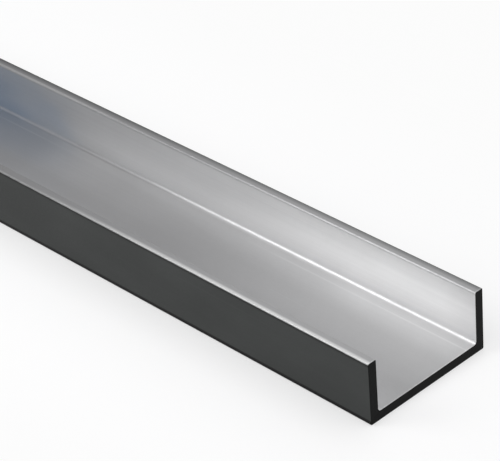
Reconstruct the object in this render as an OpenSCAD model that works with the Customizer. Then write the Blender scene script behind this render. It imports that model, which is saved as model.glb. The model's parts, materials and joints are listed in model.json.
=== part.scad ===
// Double sliding door track: a straight, plain U channel of extruded aluminium.
// The length runs along X, the width along Y and the height along Z.
// The origin is the middle of the underside, where the channel lies on its bed.

/* [Section] */
// Overall width across the two flanges
channel_width = 45; // [25:0.5:120]
// Overall height from the underside to the tops of the flanges
channel_height = 20; // [10:0.5:60]
// Thickness of the web, the flat bottom that the doors run on
web_thickness = 3; // [1.5:0.1:6]
// Thickness of each flange, the low walls that guide the doors
flange_thickness = 3; // [1.5:0.1:6]

/* [Edges] */
// Radius of the fillet where a flange rises from the web
root_radius = 1; // [0.2:0.1:3]
// Radius of the rounding along every other long edge
edge_radius = 0.5; // [0.1:0.05:0.7]

/* [Length] */
// Length that the stock is cut to, with square ends
channel_length = 1000; // [100:10:6000]

/* [Hidden] */
$fn = 64;

// Clear width between the flanges
slot_width = channel_width - 2 * flange_thickness;
// How far a cutting or filling shape runs past the faces it works on
overrun = 1;

// The sliver between a square corner at the origin and an arc that is tangent to both of its sides.
// It runs on past the corner, so that it cuts a corner cleanly or bites into the walls that it fills.
module corner_sliver(radius) {
    difference() {
        translate([-overrun, -overrun]) square(radius + overrun);
        translate([radius, radius]) circle(radius);
    }
}

// A child placed in the right half of the section and mirrored into the left half.
module both_sides() {
    children();
    mirror([1, 0]) children();
}

// Web and flanges with square corners, standing on the origin.
module square_section() {
    difference() {
        translate([-channel_width / 2, 0]) square([channel_width, channel_height]);
        translate([-slot_width / 2, web_thickness]) square([slot_width, channel_height]);
    }
}

// Where the rounded edges lie in the right half, and how far each is turned from the lower left corner.
module at_long_edges() {
    translate([channel_width / 2, 0]) rotate(90) children();
    translate([channel_width / 2, channel_height]) rotate(180) children();
    translate([slot_width / 2, channel_height]) rotate(-90) children();
}

// The finished outline: rounded long edges and filleted roots.
module channel_section() {
    difference() {
        square_section();
        both_sides() at_long_edges() corner_sliver(edge_radius);
    }
    both_sides() translate([slot_width / 2, web_thickness]) rotate(90) corner_sliver(root_radius);
}

// The channel, extruded in one piece.
module track_channel() {
    color("silver")
        rotate([90, 0, 90])
            linear_extrude(height = channel_length, center = true) channel_section();
}

track_channel();
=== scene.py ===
import json
import math
from types import SimpleNamespace

import bpy
from mathutils import Matrix, Vector


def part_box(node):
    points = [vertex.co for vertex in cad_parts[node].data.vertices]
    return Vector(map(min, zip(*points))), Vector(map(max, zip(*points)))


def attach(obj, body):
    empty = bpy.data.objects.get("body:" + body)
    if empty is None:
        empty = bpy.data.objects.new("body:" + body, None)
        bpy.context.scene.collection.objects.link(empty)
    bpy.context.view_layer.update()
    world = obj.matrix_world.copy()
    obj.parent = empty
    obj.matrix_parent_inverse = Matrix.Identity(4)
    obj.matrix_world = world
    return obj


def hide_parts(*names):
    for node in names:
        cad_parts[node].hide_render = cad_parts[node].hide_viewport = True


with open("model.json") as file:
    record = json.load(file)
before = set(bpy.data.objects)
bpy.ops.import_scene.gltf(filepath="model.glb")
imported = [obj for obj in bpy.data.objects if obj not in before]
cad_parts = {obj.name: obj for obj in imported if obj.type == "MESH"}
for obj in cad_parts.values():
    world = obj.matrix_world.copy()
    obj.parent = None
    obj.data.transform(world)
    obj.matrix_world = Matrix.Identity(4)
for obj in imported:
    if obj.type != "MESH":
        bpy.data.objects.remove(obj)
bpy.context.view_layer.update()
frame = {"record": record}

MM = 0.001
MICRON = 0.000001

# The channel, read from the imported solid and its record
channel_low, channel_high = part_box("track_channel")
channel_length, channel_width, channel_height = channel_high - channel_low
mount_places = {mount["name"]: Vector(mount["pos_m"]) for mount in frame["record"]["mounts"]}
web_thickness = mount_places["door_slot"].z
near_end = mount_places["near_end"].x

# The section's other sizes, which the box doesn't show
flange_thickness = 3 * MM
root_radius = 1 * MM
edge_radius = 0.5 * MM
end_chamfer = 0.15 * MM
slot_half = channel_width / 2 - flange_thickness

# How finely the channel is divided
arc_steps = 8
chamfer_steps = 2
length_steps = 20

# The turn in degrees from which an edge is sharp
sharp_turn = 60

# How much of a face's normal points along the length where the face is a sawn end
end_facing = 0.5

# The flat map, as shares of its side: gaps, broken edges, the strip of the ends and the middle of each end
map_gap = 0.006
map_rim = 0.005
map_ends = 0.12
near_end_row = 0.25
far_end_row = 0.75

# The photograph's view of the near end: angles in degrees, places in metres from the end's lowest middle
view_azimuth = 48.08
view_elevation = 33.09
view_roll = -4.83
view_distance = 0.6329
view_right = -0.04779
view_up = 0.04166
lens_mm = 170.36
nearest_seen = 10 * MM

# Kinds of value that go in and out of node groups
VALUE = "NodeSocketFloat"
PLACE = "NodeSocketVector"
COUNT = "NodeSocketInt"
SHAPE = "NodeSocketGeometry"


def set_or_link(tree, socket, value):
    """Gives a socket a fixed value, or the output of another node."""
    if isinstance(value, bpy.types.NodeSocket):
        tree.links.new(value, socket)
    elif socket.type == "RGBA" and len(value) == 3:
        socket.default_value = (*value, 1)
    else:
        socket.default_value = value


def add(tree, kind, inputs=None, **settings):
    """A new node with its settings, and its inputs by name or number."""
    node = tree.nodes.new(kind)
    for name, value in settings.items():
        setattr(node, name, value)
    for key, value in (inputs or {}).items():
        set_or_link(tree, node.inputs[key], value)
    return node


def math_of(tree, operation, first, second=0.0):
    """One step of arithmetic."""
    return add(tree, "ShaderNodeMath", {0: first, 1: second}, operation=operation).outputs[0]


def part_of(tree, mask, share):
    """A share of a mask, or where two masks meet."""
    return math_of(tree, "MULTIPLY", mask, share)


def ramp(tree, value, start, stop, low=0.0, high=1.0):
    """A smooth step: low until start, high after stop."""
    inputs = {"Value": value, "From Min": start, "From Max": stop, "To Min": low, "To Max": high}
    return add(tree, "ShaderNodeMapRange", inputs, interpolation_type="SMOOTHSTEP").outputs[0]


def mix_colour(tree, share, first, second):
    """The first colour, turning into the second with the share."""
    node = add(tree, "ShaderNodeMix", {0: share, 6: first, 7: second}, data_type="RGBA")
    return node.outputs[2]


def tinted(tree, colour, mask, share, tone):
    """A colour that turns towards a tone by a share of a mask."""
    return mix_colour(tree, part_of(tree, mask, share), colour, tone)


def vector_of(tree, x, y=0.0, z=0.0):
    """A place or scale put together from its axes."""
    return add(tree, "ShaderNodeCombineXYZ", {0: x, 1: y, 2: z}).outputs[0]


def axes_of(tree, place):
    """A place taken apart into its axes."""
    return add(tree, "ShaderNodeSeparateXYZ", {0: place}).outputs


def stretched(tree, place, scale):
    """A place with each of its axes scaled by itself."""
    return add(tree, "ShaderNodeVectorMath", {0: place, 1: scale}, operation="MULTIPLY").outputs[0]


def noise(tree, place, seed, detail=2.0, roughness=0.5):
    """Smooth noise of pitch 1, which sways about noise_middle."""
    inputs = {"Vector": place, "W": seed, "Scale": 1.0, "Detail": detail, "Roughness": roughness}
    return add(tree, "ShaderNodeTexNoise", inputs, noise_dimensions="4D").outputs["Fac"]


def shader_group(name, inputs, outputs):
    """An empty node group with named values going in and out, and its two ends."""
    group = bpy.data.node_groups.new(name, "ShaderNodeTree")
    for socket, kind, start in inputs:
        made = group.interface.new_socket(socket, in_out="INPUT", socket_type=kind)
        if start is not None:
            made.default_value = start
    for socket, kind in outputs:
        group.interface.new_socket(socket, in_out="OUTPUT", socket_type=kind)
    return group, group.nodes.new("NodeGroupInput").outputs, group.nodes.new("NodeGroupOutput").inputs


# Shared effects: the middle of the noise and the span that most of it lies in
noise_middle = 0.5
noise_span = (0.3, 0.7)

# Die lines: how much sparser the broad lines are than the fine ones, and the share of each
broad_scale = (1.0, 0.17, 0.17)
line_balance = 0.5

# Mottling: how much the clouds are stretched along the stock, and how much finer the grain is
cloud_stretch = 0.5
grain_scale = (40.0, 40.0, 40.0)

# Scratches: how slowly a hairline changes along its run, and where the hairlines are broken off
hairline_run = 0.02
break_scale = (8.0, 0.6, 0.6)
break_span = (0.55, 0.68)

# Ragged edge, for wear and for a painted highlight: the jags of its border in each metre, how far they
# sway it, and how soft it is
jag_scale = (300.0, 1200.0, 1200.0)
jag_sway = 2.0
edge_softness = 0.6


def make_die_lines():
    """The fine lines that an extrusion die leaves along the length."""
    inputs = [("Place", PLACE, None), ("Spacing", VALUE, 0.4 * MM), ("Run", VALUE, 200 * MM)]
    group, given, result = shader_group("die_lines", inputs, [("Height", VALUE), ("Tone", VALUE)])
    across = math_of(group, "DIVIDE", 1.0, given["Spacing"])
    along = math_of(group, "DIVIDE", 1.0, given["Run"])
    scale = vector_of(group, along, across, across)
    fine = noise(group, stretched(group, given["Place"], scale), seed=3.0, detail=3.0, roughness=0.6)
    sparse = stretched(group, scale, broad_scale)
    broad = noise(group, stretched(group, given["Place"], sparse), seed=7.0, detail=1.0)
    fine_part = part_of(group, fine, line_balance)
    broad_part = part_of(group, broad, 1 - line_balance)
    both = math_of(group, "ADD", fine_part, broad_part)
    group.links.new(fine, result["Height"])
    group.links.new(ramp(group, both, *noise_span), result["Tone"])
    return group


def make_mottling():
    """Soft clouds in a finish, longer along the stock than across it, and a fine grain."""
    inputs = [("Place", PLACE, None), ("Patch", VALUE, 30 * MM), ("Seed", VALUE, 0.0)]
    group, given, result = shader_group("mottling", inputs, [("Cloud", VALUE), ("Grain", VALUE)])
    across = math_of(group, "DIVIDE", 1.0, given["Patch"])
    along = math_of(group, "MULTIPLY", across, cloud_stretch)
    place = stretched(group, given["Place"], vector_of(group, along, across, across))
    cloud = noise(group, place, given["Seed"], detail=3.0)
    grain = noise(group, stretched(group, place, grain_scale), given["Seed"], detail=3.0, roughness=0.7)
    group.links.new(ramp(group, cloud, *noise_span), result["Cloud"])
    group.links.new(grain, result["Grain"])
    return group


def make_scratches():
    """Sparse straight hairlines, lying nearly along the stock."""
    inputs = [
        ("Place", PLACE, None),
        ("Turn", VALUE, 0.02),
        ("Pitch", VALUE, 6 * MM),
        ("Width", VALUE, 0.02),
    ]
    group, given, result = shader_group("scratches", inputs, [("Mask", VALUE)])
    turn = {"Vector": given["Place"], "Angle": given["Turn"]}
    turned = add(group, "ShaderNodeVectorRotate", turn).outputs[0]
    across = math_of(group, "DIVIDE", 1.0, given["Pitch"])
    along = math_of(group, "MULTIPLY", across, hairline_run)
    place = stretched(group, turned, vector_of(group, along, across, across))
    field = noise(group, place, seed=11.0, detail=0.0)
    from_line = math_of(group, "ABSOLUTE", math_of(group, "SUBTRACT", field, noise_middle))
    thin = ramp(group, from_line, given["Width"], 0.0)
    breaks = noise(group, stretched(group, place, break_scale), seed=5.0, detail=1.0)
    group.links.new(part_of(group, thin, ramp(group, breaks, *break_span)), result["Mask"])
    return group


def make_wear_and_highlight_edge():
    """How far a mask reaches beside an edge, with a ragged border: wear beside the sawn ends, and the
    painted highlight along the near lip.
    """
    inputs = [
        ("Place", PLACE, None),
        ("Distance", VALUE, 0.0),
        ("Reach", VALUE, 0.5 * MM),
        ("Ragged", VALUE, 0.3),
    ]
    group, given, result = shader_group("wear_and_highlight_edge", inputs, [("Mask", VALUE)])
    jags = noise(group, stretched(group, given["Place"], jag_scale), seed=2.0, detail=3.0, roughness=0.6)
    jags = math_of(group, "SUBTRACT", jags, noise_middle)
    sway = part_of(group, part_of(group, jags, given["Ragged"]), jag_sway)
    limit = part_of(group, given["Reach"], math_of(group, "ADD", 1.0, sway))
    full = part_of(group, limit, edge_softness)
    group.links.new(ramp(group, given["Distance"], limit, full), result["Mask"])
    return group


die_lines = make_die_lines()
mottling = make_mottling()
scratches = make_scratches()
wear_and_highlight_edge = make_wear_and_highlight_edge()


def effect(tree, group, **inputs):
    """Places a shared effect in a material and gives back its outputs."""
    return add(tree, "ShaderNodeGroup", inputs, node_tree=group).outputs


def new_material(name):
    """A material with its tree, its shader and the place on the piece."""
    material = bpy.data.materials.new(name)
    material.use_nodes = True
    tree = material.node_tree
    place = tree.nodes.new("ShaderNodeTexCoord").outputs["Object"]
    return material, tree, tree.nodes["Principled BSDF"], place


def measures(tree, place):
    """A place on the channel, its axes and how far it is from the near end, the middle and the tops."""
    x, y, z = axes_of(tree, place)
    return SimpleNamespace(
        place=place,
        along=x,
        across=y,
        up=z,
        from_end=math_of(tree, "SUBTRACT", near_end, x),
        from_middle=math_of(tree, "ABSOLUTE", y),
        below_top=math_of(tree, "SUBTRACT", channel_height, z),
    )


def finish_metal(tree, shader, colour, rough, height, depth):
    """Gives metal its colour, its roughness and a relief of that depth."""
    relief = add(tree, "ShaderNodeBump", {"Height": height, "Strength": 1.0, "Distance": depth}).outputs[0]
    set_or_link(tree, shader.inputs["Base Color"], colour)
    set_or_link(tree, shader.inputs["Roughness"], rough)
    set_or_link(tree, shader.inputs["Normal"], relief)
    shader.inputs["Metallic"].default_value = 1


def lay_lines(tree, shader, share):
    """Lets the die lines scatter light across the length and hardly along it."""
    quarter_turn = 0.25
    set_or_link(tree, shader.inputs["Tangent"], vector_of(tree, 1.0))
    shader.inputs["Anisotropic"].default_value = share
    shader.inputs["Anisotropic Rotation"].default_value = quarter_turn


# Bare metal inside the channel, in painted light: linear colours of the shaded and lit web, the lit
# flanges with painted shade on their tops, and the painted highlights on the roots between them
shaded_web_tone = (0.50, 0.50, 0.503)
lit_web_tone = (0.65, 0.65, 0.654)
brightest_web_tone = (0.73, 0.73, 0.734)
lit_flange_tone = (0.79, 0.79, 0.793)
brightest_flange_tone = (0.95, 0.95, 0.95)
top_shade_and_scratch_tone = (0.40, 0.40, 0.403)
root_foot_highlight_tone = (0.74, 0.74, 0.745)
root_foot_mid_highlight_tone = (0.70, 0.70, 0.705)
root_wall_highlight_tone = (0.60, 0.60, 0.605)
root_wall_mid_highlight_tone = (0.84, 0.84, 0.845)
root_far_highlight_tone = (0.54, 0.54, 0.545)

# Bare metal: linear colours of dull places and painted shade, of the bluish patch, and of bright marks and
# painted highlights
dull_and_shade_tone = (0.42, 0.42, 0.425)
blue_patch_tone = (0.45, 0.485, 0.54)
wall_blue_patch_tone = (0.37, 0.48, 0.63)
wear_and_highlight_tone = (0.76, 0.76, 0.76)

# Web, in painted light and shade: where its lit parts start and are full, along and across it, their
# shares, and the brightest stretch
near_web_light = (62 * MM, 32 * MM)
far_web_light = (80 * MM, 145 * MM)
side_web_light = (6 * MM, 17 * MM)
middle_web_light = (0.0, 8 * MM)
least_web_light = 0.4
middle_share = 0.5
side_share = 0.85
brightest_rise = (134 * MM, 156 * MM)
brightest_fall = (178 * MM, 162 * MM)

# Flanges: where they start above the web, where painted light brightens them, and the painted shade along
# their tops
wall_start = (0.2 * MM, root_radius)
flange_light_rise = (1 * MM, 7 * MM)
flange_light_stretch = (110 * MM, 30 * MM)
top_shade_band = (1.25 * MM, -0.25 * MM)

# Roots: their part of the section, and how their painted highlight changes along the length
root_side = (slot_half - 1.6 * root_radius, slot_half - 0.6 * root_radius)
root_height = (0.9 * root_radius, 0.3 * root_radius)
root_rise = (0.1 * root_radius, 0.45 * root_radius)
root_highlight_change = (20 * MM, 85 * MM)
root_foot_highlight_fade = (95 * MM, 140 * MM)
root_wall_highlight_fade = (110 * MM, 138 * MM)

# Darker places: the last stretch before the near end, painted shade at the feet of the flanges, and dull
# clouds and die lines
near_end_darkening = (14 * MM, 0.0)
near_end_darkening_share = 0.2
foot_shade = (3.5 * MM, 1 * MM)
foot_shade_share = 0.15
cloud_share = 0.2
line_share = 0.12

# Bluish patch: where it grows and fades from the near end, across the web and below the tops, and its
# clouds
blue_patch_growth = (157 * MM, 176 * MM)
blue_patch_fading = (230 * MM, 750 * MM)
blue_patch_left = 0.25
blue_patch_side = (0.0, 8 * MM)
blue_patch_below_top = (0.2 * MM, 1.2 * MM)
blue_patch_size = 45 * MM

# Bright marks and painted highlights: a streak on the web, hairlines, a painted highlight along the far
# flange's inner upper edge, a painted highlight on the near lip
streak_place = 15.6 * MM
streak_edge = (0.5 * MM, 0.0)
streak_share = 0.5
hairline_share = 0.2
top_highlight_place = slot_half + 0.2 * MM
top_highlight_edge = (0.7 * MM, 0.2 * MM)
top_highlight_depth = (0.9 * MM, 0.3 * MM)
top_highlight_stretch = (108 * MM, 178 * MM)
top_highlight_share = 0.6
lip_highlight_length = 145 * MM
near_lip_highlight = (-(slot_half + 0.5 * flange_thickness), -(slot_half + 0.8 * flange_thickness))

# Borders: painted shade on the outer part of the far flange's top, and wear beside the sawn ends
far_top_shade_band = (slot_half + 0.27 * flange_thickness, slot_half + 0.8 * flange_thickness)
far_top_shade_share = 0.45
end_wear_share = 0.35

# Bare metal: its roughness, how much rougher the flanges are, and the depth and scatter of its lines
bare_rough = (0.32, 0.40)
flange_rougher = 0.06
bare_line_depth = 8 * MICRON
bare_scatter = 0.93


def web_colour(tree, spot):
    """The web in painted light: darker in its middle, lit to its sides and brightest just before the
    bluish patch.
    """
    near_lit = ramp(tree, spot.from_end, *near_web_light)
    far_lit = ramp(tree, spot.from_end, *far_web_light)
    web_lit = ramp(tree, math_of(tree, "MAXIMUM", near_lit, far_lit), 0.0, 1.0, least_web_light, 1.0)
    at_side = part_of(tree, ramp(tree, spot.from_middle, *side_web_light), web_lit)
    far_band = ramp(tree, spot.from_middle, *middle_web_light, middle_share, side_share)
    lit_part = math_of(tree, "MAXIMUM", at_side, part_of(tree, far_lit, far_band))
    clear = part_of(tree, ramp(tree, spot.from_end, *brightest_rise), ramp(tree, spot.from_end, *brightest_fall))
    lit_tone = mix_colour(tree, clear, lit_web_tone, brightest_web_tone)
    return mix_colour(tree, lit_part, shaded_web_tone, lit_tone)


def flange_colour(tree, spot):
    """A flange: painted light brightest at mid height, and painted shade along its top."""
    lit_from_foot = ramp(tree, spot.above_web, *flange_light_rise)
    lit_from_top = ramp(tree, spot.below_top, *flange_light_rise)
    flange_lit = part_of(tree, part_of(tree, lit_from_foot, lit_from_top), ramp(tree, spot.from_end, *flange_light_stretch))
    flange = mix_colour(tree, flange_lit, lit_flange_tone, brightest_flange_tone)
    return mix_colour(tree, ramp(tree, spot.below_top, *top_shade_band), flange, top_shade_and_scratch_tone)


def root_colour(tree, spot):
    """A root's painted highlight: its foot and its rise to the flange each change along the length."""
    along = ramp(tree, spot.from_end, *root_highlight_change)
    foot = mix_colour(tree, along, root_foot_highlight_tone, root_foot_mid_highlight_tone)
    foot = mix_colour(tree, ramp(tree, spot.from_end, *root_foot_highlight_fade), foot, root_far_highlight_tone)
    wall = mix_colour(tree, along, root_wall_highlight_tone, root_wall_mid_highlight_tone)
    wall = mix_colour(tree, ramp(tree, spot.from_end, *root_wall_highlight_fade), wall, root_far_highlight_tone)
    return mix_colour(tree, ramp(tree, spot.above_web, *root_rise), foot, wall)


def mill_finish_and_light(tree, spot, lines, clouds):
    """Web, flanges and roots in painted light and highlights, darker at the near end, in painted shade at
    the feet, dulled in clouds and along the die lines.
    """
    colour = mix_colour(tree, spot.on_wall, web_colour(tree, spot), flange_colour(tree, spot))
    colour = tinted(tree, colour, ramp(tree, spot.from_end, *near_end_darkening), near_end_darkening_share, dull_and_shade_tone)
    foot = part_of(tree, spot.on_wall, ramp(tree, spot.above_web, *foot_shade))
    colour = tinted(tree, colour, foot, foot_shade_share, dull_and_shade_tone)
    at_root = ramp(tree, spot.from_middle, *root_side)
    in_root = part_of(tree, at_root, ramp(tree, spot.above_web, *root_height))
    colour = mix_colour(tree, in_root, colour, root_colour(tree, spot))
    colour = tinted(tree, colour, clouds["Cloud"], cloud_share, dull_and_shade_tone)
    return tinted(tree, colour, lines["Tone"], line_share, dull_and_shade_tone)


def add_blue_patch(tree, spot, colour):
    """A bluish, darker patch on the far side, which starts some way in and fades slowly along the length.
    """
    clouds = effect(tree, mottling, Place=spot.place, Patch=blue_patch_size, Seed=12.0)
    fading = ramp(tree, spot.from_end, *blue_patch_fading, 1.0, blue_patch_left)
    where = part_of(tree, ramp(tree, spot.from_end, *blue_patch_growth), fading)
    where = part_of(tree, where, ramp(tree, spot.across, *blue_patch_side))
    where = part_of(tree, where, ramp(tree, spot.below_top, *blue_patch_below_top))
    tone = mix_colour(tree, spot.on_wall, blue_patch_tone, wall_blue_patch_tone)
    return tinted(tree, colour, where, clouds["Cloud"], tone)


def line_along(tree, spot, place, edge):
    """A straight line along the length, at a place across it: used for the streak and for the painted
    highlight.
    """
    from_line = math_of(tree, "ABSOLUTE", math_of(tree, "SUBTRACT", spot.across, place))
    return ramp(tree, from_line, *edge)


def add_marks_and_highlights(tree, spot, clouds, colour):
    """The streak on the web, the hairlines, the painted highlight on the far flange's top and the painted
    highlight on the near lip.
    """
    on_web = math_of(tree, "SUBTRACT", 1.0, spot.on_wall)
    streak = part_of(tree, line_along(tree, spot, streak_place, streak_edge), on_web)
    colour = tinted(tree, colour, streak, part_of(tree, clouds["Cloud"], streak_share), wear_and_highlight_tone)
    hairlines = effect(tree, scratches, Place=spot.place, Turn=0.02, Pitch=9 * MM, Width=0.012)
    colour = tinted(tree, colour, hairlines["Mask"], hairline_share, wear_and_highlight_tone)
    top_highlight = line_along(tree, spot, top_highlight_place, top_highlight_edge)
    top_highlight = part_of(tree, top_highlight, ramp(tree, spot.below_top, *top_highlight_depth))
    top_highlight = part_of(tree, top_highlight, ramp(tree, spot.from_end, *top_highlight_stretch))
    colour = tinted(tree, colour, top_highlight, top_highlight_share, wear_and_highlight_tone)
    # Painted highlight on the outer part of the near flange's top, brightest at the near end
    near_part = ramp(tree, spot.from_end, lip_highlight_length, 0.5 * lip_highlight_length)
    lip_highlight = part_of(tree, ramp(tree, spot.across, *near_lip_highlight), near_part)
    return mix_colour(tree, lip_highlight, colour, wear_and_highlight_tone)


def add_borders(tree, spot, colour):
    """Painted shade on the outer part of the far flange's top, and the wear beside the sawn ends."""
    far_top_shaded = ramp(tree, spot.across, *far_top_shade_band)
    colour = tinted(tree, colour, far_top_shaded, far_top_shade_share, outside_shade_tone)
    from_cut = math_of(tree, "SUBTRACT", channel_length / 2, math_of(tree, "ABSOLUTE", spot.along))
    wear_and_highlight = effect(tree, wear_and_highlight_edge, Place=spot.place, Distance=from_cut, Reach=0.4 * MM, Ragged=0.5)
    return tinted(tree, colour, wear_and_highlight["Mask"], end_wear_share, wear_and_highlight_tone)


def bare_metal_and_light():
    """Mill finish inside the channel, with painted light, shade and highlights, a bluish patch, bright
    marks and borders.
    """
    material, tree, shader, place = new_material("bare_metal_and_light")
    lines = effect(tree, die_lines, Place=place, Spacing=0.35 * MM, Run=160 * MM)
    clouds = effect(tree, mottling, Place=place, Patch=28 * MM, Seed=4.0)
    spot = measures(tree, place)
    spot.above_web = math_of(tree, "SUBTRACT", spot.up, web_thickness)
    spot.on_wall = ramp(tree, spot.above_web, *wall_start)
    colour = mill_finish_and_light(tree, spot, lines, clouds)
    colour = add_blue_patch(tree, spot, colour)
    colour = add_marks_and_highlights(tree, spot, clouds, colour)
    colour = add_borders(tree, spot, colour)
    web_rough = ramp(tree, clouds["Grain"], *noise_span, *bare_rough)
    rough = math_of(tree, "ADD", web_rough, part_of(tree, spot.on_wall, flange_rougher))
    finish_metal(tree, shader, colour, rough, lines["Height"], bare_line_depth)
    lay_lines(tree, shader, bare_scatter)
    return material


# Painted shade on the outside and the underside: linear colours of its dark tone, of its darker edges, and
# of the painted highlight on the near lip
outside_shade_tone = (0.0545, 0.0575, 0.0565)
outside_shade_dull_tone = (0.044, 0.0465, 0.0455)
edge_shade_tone = (0.008, 0.008, 0.008)
lip_far_highlight_tone = (0.52, 0.52, 0.523)
lip_highlight_tone = (0.33, 0.33, 0.332)

# Painted shade on the outside: darker painted shade along the lower and upper edges, and the shares of
# lines and hairlines
outer_side = (channel_width / 2 - 2 * MM, channel_width / 2 - edge_radius)
low_shade_band = (1.7 * MM, 1.1 * MM)
high_shade_band = (1.4 * MM, 0.6 * MM)
high_shade_share = 0.6
outside_line_share = 0.3
outside_hairline_share = 0.03

# Painted highlight on the near lip: how deep below the top its bright rim goes
lip_highlight_rim = (0.02 * MM, 0.12 * MM)

# Outside, in painted shade: its roughness, the depth of its lines and how they scatter light
outside_rough = (0.32, 0.42)
outside_line_depth = 10 * MICRON
outside_scatter = 0.85


def add_edge_shade(tree, spot, colour):
    """Painted shade, darkest along the lower and upper outer edges."""
    at_side = ramp(tree, spot.from_middle, *outer_side)
    low = part_of(tree, at_side, ramp(tree, spot.up, *low_shade_band))
    high = part_of(tree, ramp(tree, spot.below_top, *high_shade_band), high_shade_share)
    return mix_colour(tree, math_of(tree, "MAXIMUM", low, high), colour, edge_shade_tone)


def add_lip_highlight(tree, spot, colour):
    """Painted highlight along the near upper edge, brightest at the near end."""
    wear_and_highlight = effect(tree, wear_and_highlight_edge, Place=spot.place, Distance=spot.below_top, Reach=0.4 * MM, Ragged=0.25)
    near_side = math_of(tree, "LESS_THAN", spot.across, 0.0)
    far_part = ramp(tree, spot.from_end, 0.5 * lip_highlight_length, lip_highlight_length)
    rim = mix_colour(tree, far_part, wear_and_highlight_tone, lip_far_highlight_tone)
    lip = mix_colour(tree, ramp(tree, spot.below_top, *lip_highlight_rim), rim, lip_highlight_tone)
    return tinted(tree, colour, wear_and_highlight["Mask"], near_side, lip)


def painted_shade_outside():
    """Painted shade on the outside: dark grey with clouds, die lines and hairlines, darker painted shade
    along the edges and a painted highlight on the near lip.
    """
    material, tree, shader, place = new_material("painted_shade_outside")
    lines = effect(tree, die_lines, Place=place, Spacing=0.5 * MM, Run=120 * MM)
    clouds = effect(tree, mottling, Place=place, Patch=18 * MM, Seed=9.0)
    hairlines = effect(tree, scratches, Place=place, Turn=0.03, Pitch=7 * MM, Width=0.01)
    spot = measures(tree, place)
    colour = mix_colour(tree, clouds["Cloud"], outside_shade_tone, outside_shade_dull_tone)
    colour = tinted(tree, colour, lines["Tone"], outside_line_share, outside_shade_dull_tone)
    colour = tinted(tree, colour, hairlines["Mask"], outside_hairline_share, top_shade_and_scratch_tone)
    colour = add_edge_shade(tree, spot, colour)
    colour = add_lip_highlight(tree, spot, colour)
    rough = ramp(tree, clouds["Grain"], *noise_span, *outside_rough)
    finish_metal(tree, shader, colour, rough, lines["Height"], outside_line_depth)
    lay_lines(tree, shader, outside_scatter)
    return material


# Sawn ends: linear colours of their near-black painted shade, the blade's middle in the plane of the cut,
# its strokes and their roughness
cut_shade_tone = (0.006, 0.006, 0.006)
cut_shade_dull_tone = (0.003, 0.003, 0.003)
blade_middle = (0, -80 * MM, 100 * MM)
in_cut_plane = (0.0, 1.0, 1.0)
stroke_pitch = 0.35 * MM
stroke_depth = 8 * MICRON
stroke_share = 0.5
end_rough = (0.45, 0.6)


def sawn_end_in_shade():
    """Cut ends in near-black painted shade, with the arcs that a round blade leaves."""
    material, tree, shader, place = new_material("sawn_end_in_shade")
    clouds = effect(tree, mottling, Place=place, Patch=6 * MM, Seed=1.0)
    blade = {0: stretched(tree, place, in_cut_plane), 1: blade_middle}
    from_blade = add(tree, "ShaderNodeVectorMath", blade, operation="DISTANCE").outputs["Value"]
    stroke = math_of(tree, "DIVIDE", from_blade, stroke_pitch)
    rings = noise(tree, vector_of(tree, stroke), seed=6.0)
    share = part_of(tree, math_of(tree, "ADD", rings, clouds["Cloud"]), stroke_share)
    colour = mix_colour(tree, share, cut_shade_tone, cut_shade_dull_tone)
    rough = ramp(tree, rings, *noise_span, *end_rough)
    finish_metal(tree, shader, colour, rough, rings, stroke_depth)
    return material


# Floor: its size, the gap under the channel, its linear colours and grain, its roughness and its gloss
floor_half = 40.0
floor_gap = 0.02 * MM
floor_tone = (0.96, 0.96, 0.96)
floor_shade = 0.985
floor_grain = (60.0, 60.0, 60.0)
floor_rough = 0.9
floor_gloss = 0.1

# Ground: how much of the floor is plain ground beside the channel, and where the floor is ground alone
ground_tone = (0.97, 0.97, 0.97)
ground_share = 0.5
shade_full = 15 * MM
shade_reach = 90 * MM


def past(tree, axis, half):
    """How far a place lies past the channel on one axis."""
    beyond = math_of(tree, "SUBTRACT", math_of(tree, "ABSOLUTE", axis), half)
    return math_of(tree, "MAXIMUM", beyond, 0.0)


def ground_part(tree, place):
    """How much of the floor is plain ground: some beside the channel, and all of it further away."""
    axes = axes_of(tree, place)
    away = vector_of(tree, past(tree, axes[0], channel_length / 2), past(tree, axes[1], channel_width / 2))
    distance = add(tree, "ShaderNodeVectorMath", {0: away}, operation="LENGTH").outputs["Value"]
    return ramp(tree, distance, shade_full, shade_reach, ground_share, 1.0)


def pale_floor():
    """A matt, nearly white floor: it takes a soft shadow beside the channel and is plain ground beyond."""
    material, tree, shader, place = new_material("pale_floor")
    grain = noise(tree, stretched(tree, place, floor_grain), seed=0.0, detail=4.0)
    shade = tuple(floor_shade * level for level in floor_tone)
    set_or_link(tree, shader.inputs["Base Color"], mix_colour(tree, grain, floor_tone, shade))
    shader.inputs["Roughness"].default_value = floor_rough
    shader.inputs["Specular IOR Level"].default_value = floor_gloss
    ground = add(tree, "ShaderNodeEmission", {"Color": ground_tone, "Strength": 1.0}).outputs[0]
    rays = tree.nodes.new("ShaderNodeLightPath").outputs
    seen = math_of(tree, "MAXIMUM", rays["Is Camera Ray"], rays["Is Glossy Ray"])
    seen = math_of(tree, "MAXIMUM", seen, rays["Is Transmission Ray"])
    share = part_of(tree, seen, ground_part(tree, place))
    mixed = add(tree, "ShaderNodeMixShader", {0: share, 1: shader.outputs[0], 2: ground}).outputs[0]
    tree.links.new(mixed, tree.nodes["Material Output"].inputs["Surface"])
    return material


def by_corner(tree, values):
    """The value of each corner of the outline, picked by the corner's number."""
    switch = add(tree, "GeometryNodeIndexSwitch", data_type="FLOAT")
    while len(switch.index_switch_items) < len(values):
        switch.index_switch_items.new()
    corner = tree.nodes.new("GeometryNodeInputIndex").outputs[0]
    set_or_link(tree, switch.inputs["Index"], corner)
    for number, value in enumerate(values):
        set_or_link(tree, switch.inputs[number + 1], value)
    return switch.outputs[0]


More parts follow.
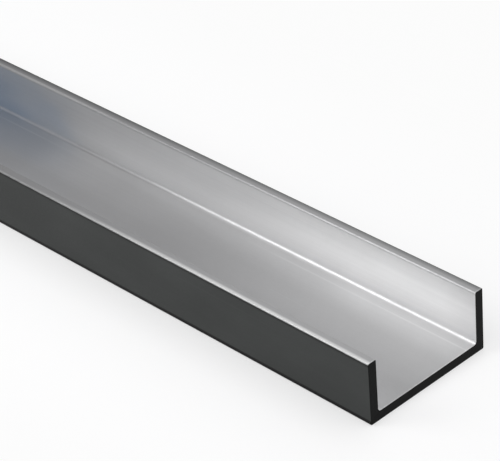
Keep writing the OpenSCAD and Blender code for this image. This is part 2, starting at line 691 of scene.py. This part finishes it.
def channel_outline(tree, given, outer):
    """The U outline with its rounded corners, turned half round because the sweep turns it back."""
    inner = math_of(tree, "SUBTRACT", outer, given["Flange"])
    near_outer = math_of(tree, "MULTIPLY", outer, -1.0)
    near_inner = math_of(tree, "MULTIPLY", inner, -1.0)
    top, web = given["Height"], given["Web"]
    edge, root = given["Edge Radius"], given["Root Radius"]
    across = [near_outer, outer, outer, inner, inner, near_inner, near_inner, near_outer]
    upward = [0.0, 0.0, top, top, web, web, top, top]
    radius = [edge, edge, edge, edge, root, root, edge, edge]
    half_turn = (-1.0, -1.0, 1.0)
    place = stretched(tree, vector_of(tree, by_corner(tree, across), by_corner(tree, upward)), half_turn)
    corners = add(tree, "GeometryNodePoints", {"Count": len(across), "Position": place}).outputs[0]
    outline = add(tree, "GeometryNodePointsToCurves", {"Points": corners}).outputs[0]
    outline = add(tree, "GeometryNodeSetSplineCyclic", {"Geometry": outline, "Cyclic": True}).outputs[0]
    rounding = {"Curve": outline, "Count": given["Arc Steps"], "Limit Radius": True}
    rounding["Radius"] = by_corner(tree, radius)
    return add(tree, "GeometryNodeFilletCurve", rounding, mode="POLY").outputs[0]


def sweep_outline(tree, given, outline):
    """The outline swept straight along the length, with closed ends."""
    half = math_of(tree, "MULTIPLY", given["Length"], 0.5)
    ends = {"Start": vector_of(tree, math_of(tree, "MULTIPLY", half, -1.0)), "End": vector_of(tree, half)}
    line = add(tree, "GeometryNodeCurvePrimitiveLine", ends).outputs[0]
    stations = math_of(tree, "ADD", given["Length Steps"], 1.0)
    line = add(tree, "GeometryNodeResampleCurve", {"Curve": line, "Count": stations}).outputs[0]
    sweep = {"Curve": line, "Profile Curve": outline, "Fill Caps": True}
    body = add(tree, "GeometryNodeCurveToMesh", sweep).outputs[0]
    body = add(tree, "GeometryNodeSetShadeSmooth", {"Geometry": body}).outputs[0]
    return add(tree, "GeometryNodeRealizeInstances", {"Geometry": body}).outputs[0]


def finish_faces(tree, given, outer, body):
    """Bare metal all over, then painted shade on the outside and underside, then the sawn ends in painted
    shade.
    """
    place = axes_of(tree, tree.nodes.new("GeometryNodeInputPosition").outputs[0])
    facing = axes_of(tree, tree.nodes.new("GeometryNodeInputNormal").outputs[0])
    side_limit = math_of(tree, "SUBTRACT", outer, given["Edge Radius"])
    at_side = math_of(tree, "GREATER_THAN", math_of(tree, "ABSOLUTE", place[1]), side_limit)
    at_bottom = math_of(tree, "LESS_THAN", place[2], given["Edge Radius"])
    outside = math_of(tree, "MAXIMUM", at_side, at_bottom)
    at_end = math_of(tree, "GREATER_THAN", math_of(tree, "ABSOLUTE", facing[0]), end_facing)
    for chosen, material in ((True, bare_metal_and_light()), (outside, painted_shade_outside()), (at_end, sawn_end_in_shade())):
        finish = {"Geometry": body, "Selection": chosen, "Material": material}
        body = add(tree, "GeometryNodeSetMaterial", finish).outputs[0]
    return body


def channel_tree():
    """The rule of the channel, with its sizes as named inputs."""
    tree = bpy.data.node_groups.new("swept_channel", "GeometryNodeTree")
    for name in ("Length", "Width", "Height", "Web", "Flange", "Root Radius", "Edge Radius"):
        tree.interface.new_socket(name, in_out="INPUT", socket_type=VALUE)
    for name in ("Arc Steps", "Length Steps"):
        tree.interface.new_socket(name, in_out="INPUT", socket_type=COUNT)
    tree.interface.new_socket("Geometry", in_out="OUTPUT", socket_type=SHAPE)
    given = tree.nodes.new("NodeGroupInput").outputs
    outer = math_of(tree, "MULTIPLY", given["Width"], 0.5)
    body = sweep_outline(tree, given, channel_outline(tree, given, outer))
    body = finish_faces(tree, given, outer, body)
    tree.links.new(body, tree.nodes.new("NodeGroupOutput").inputs[0])
    return tree


def outline_sides():
    """The sides of the square outline, each with its start and how far round it begins, and their sum."""
    half = channel_width / 2
    corners = [(-half, 0), (half, 0), (half, channel_height), (slot_half, channel_height)]
    corners += [(slot_half, web_thickness), (-slot_half, web_thickness)]
    corners += [(-slot_half, channel_height), (-half, channel_height)]
    corners = [Vector(corner) for corner in corners]
    sides = []
    girth = 0.0
    for first, second in zip(corners, corners[1:] + corners[:1]):
        sides.append((first, second - first, girth))
        girth += (second - first).length
    return sides, girth


def way_round(sides, point):
    """How far round the outline a point of the section lies, by the side it is nearest to."""
    found = []
    for first, way, begins in sides:
        share = min(max((point - first).dot(way) / way.length_squared, 0.0), 1.0)
        found.append(((first + share * way - point).length, begins + share * way.length))
    return min(found)[1]


def side_spot(place, share_round):
    """Where a place on the long faces lies on the flat map: the length across it and the outline up it."""
    body_length = channel_length - 2 * end_chamfer
    body_span = 1 - map_ends - 2 * map_gap - 2 * map_rim
    from_end = near_end - place.x
    past_rim = from_end - end_chamfer
    share = min(max(past_rim / body_length, 0.0), 1.0)
    near_rim = min(from_end / end_chamfer, 1.0)
    far_rim = max((past_rim - body_length) / end_chamfer, 0.0)
    across = map_gap + map_rim * (near_rim + far_rim) + body_span * share
    return across, map_gap + (1 - 3 * map_gap) * share_round


def end_spot(place):
    """Where a place on a sawn end lies on the flat map: in the strip beside the long faces."""
    turn, middle = (-1, near_end_row) if place.x > 0 else (1, far_end_row)
    across = 1 - map_ends + map_gap + (map_ends - 2 * map_gap) * place.z / channel_height
    return across, middle + turn * (0.5 - 2 * map_gap) * place.y / channel_width


def lay_flat(mesh):
    """Lays the surface on a flat map of its own."""
    sides, girth = outline_sides()
    flat_map = mesh.uv_layers.new(name="OFBake").data
    for face in mesh.polygons:
        places = [mesh.vertices[number].co for number in face.vertices]
        if abs(face.normal.x) > end_facing:
            spots = [end_spot(place) for place in places]
        else:
            rounds = [way_round(sides, place.yz) for place in places]
            split = max(rounds) - min(rounds) > girth / 2
            rounds = [far + girth if split and far < girth / 2 else far for far in rounds]
            spots = [side_spot(place, far / girth) for place, far in zip(places, rounds)]
        for loop, spot in zip(face.loop_indices, spots):
            flat_map[loop].uv = spot


def sweep_channel(piece):
    """Puts the channel's rule on a piece and gives it the sizes."""
    sweep = piece.modifiers.new("Sweep", "NODES")
    sweep.node_group = channel_tree()
    values = {
        "Length": channel_length,
        "Width": channel_width,
        "Height": channel_height,
        "Web": web_thickness,
        "Flange": flange_thickness,
        "Root Radius": root_radius,
        "Edge Radius": edge_radius,
        "Arc Steps": arc_steps,
        "Length Steps": length_steps,
    }
    for socket in sweep.node_group.interface.items_tree:
        if socket.in_out == "INPUT":
            sweep[socket.identifier] = values[socket.name]


def break_ends(piece):
    """Breaks the sharp edges of the sawn ends and keeps the flat faces flat."""
    broken = piece.modifiers.new("Broken ends", "BEVEL")
    broken.width = end_chamfer
    broken.segments = chamfer_steps
    broken.limit_method = "ANGLE"
    broken.angle_limit = math.radians(sharp_turn)
    piece.modifiers.new("Flat faces", "WEIGHTED_NORMAL")


def make_channel():
    """The channel as a plain mesh, with its sawn edges broken and its flat map."""
    piece = bpy.data.objects.new("channel", bpy.data.meshes.new("channel"))
    bpy.context.scene.collection.objects.link(piece)
    sweep_channel(piece)
    break_ends(piece)
    depsgraph = bpy.context.evaluated_depsgraph_get()
    made = piece.evaluated_get(depsgraph)
    piece.data = bpy.data.meshes.new_from_object(made, preserve_all_data_layers=True, depsgraph=depsgraph)
    piece.modifiers.clear()
    lay_flat(piece.data)
    return piece


def make_floor():
    """A wide floor just under the channel."""
    level = channel_low.z - floor_gap
    corners = [(-floor_half, -floor_half, level), (floor_half, -floor_half, level)]
    corners += [(floor_half, floor_half, level), (-floor_half, floor_half, level)]
    mesh = bpy.data.meshes.new("floor")
    mesh.from_pydata(corners, [], [(0, 1, 2, 3)])
    mesh.materials.append(pale_floor())
    floor = bpy.data.objects.new("floor", mesh)
    bpy.context.scene.collection.objects.link(floor)


# Light: the room's colour, and the softboxes' places, which for the three small ones start at the near end
room_tone = (0.46, 0.46, 0.468)
fill_place = Vector((2.2, 0, 5))
fill_aim = Vector((2.2, 0, 0))
key_way = Vector((-0.448, -0.402, 0.479))
low_key_way = Vector((-0.356, -0.521, 0.169))
back_way = Vector((-0.212, 0.276, 0.276))


def make_lamp(name, place, aim, size, power):
    """A square softbox that faces a point, with its side in metres and its power in watts."""
    lamp = bpy.data.lights.new(name, "AREA")
    lamp.shape = "SQUARE"
    lamp.size = size
    lamp.energy = power
    holder = bpy.data.objects.new(name, lamp)
    holder.location = place
    holder.rotation_euler = (aim - place).to_track_quat("-Z", "Y").to_euler()
    bpy.context.scene.collection.objects.link(holder)


def make_light():
    """Plain soft studio light: a grey room, a large softbox above and three small ones by the near end."""
    world = bpy.data.worlds.new("room")
    world.use_nodes = True
    world.node_tree.nodes["Background"].inputs["Color"].default_value = (*room_tone, 1)
    bpy.context.scene.world = world
    end = Vector((near_end, 0, 0))
    make_lamp("fill", fill_place, fill_aim, size=7.0, power=190)
    make_lamp("key", end + key_way, end, size=0.3, power=1.08)
    make_lamp("low_key", end + low_key_way, end, size=0.2, power=0.22)
    make_lamp("back", end + back_way, end, size=0.3, power=0.11)


def make_camera():
    """The photograph's view of the near end."""
    azimuth, elevation, roll = (math.radians(angle) for angle in (view_azimuth, view_elevation, view_roll))
    level = math.cos(elevation)
    back = Vector((math.sin(azimuth) * level, -math.cos(azimuth) * level, math.sin(elevation)))
    level_right = Vector((math.cos(azimuth), math.sin(azimuth), 0))
    level_up = back.cross(level_right)
    right = math.cos(roll) * level_right + math.sin(roll) * level_up
    up = math.cos(roll) * level_up - math.sin(roll) * level_right
    end_bottom = Vector((near_end, 0, channel_low.z))
    place = end_bottom + back * view_distance + right * view_right + up * view_up
    camera = bpy.data.cameras.new("camera")
    camera.lens = lens_mm
    camera.clip_start = nearest_seen
    holder = bpy.data.objects.new("camera", camera)
    turn = Matrix((right, up, back)).transposed().to_4x4()
    holder.matrix_world = Matrix.Translation(place) @ turn
    bpy.context.scene.collection.objects.link(holder)
    bpy.context.scene.camera = holder


channel = make_channel()
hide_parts("track_channel")
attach(channel, "root")
make_floor()
make_light()
make_camera()
bpy.context.scene.view_settings.view_transform = "Standard"
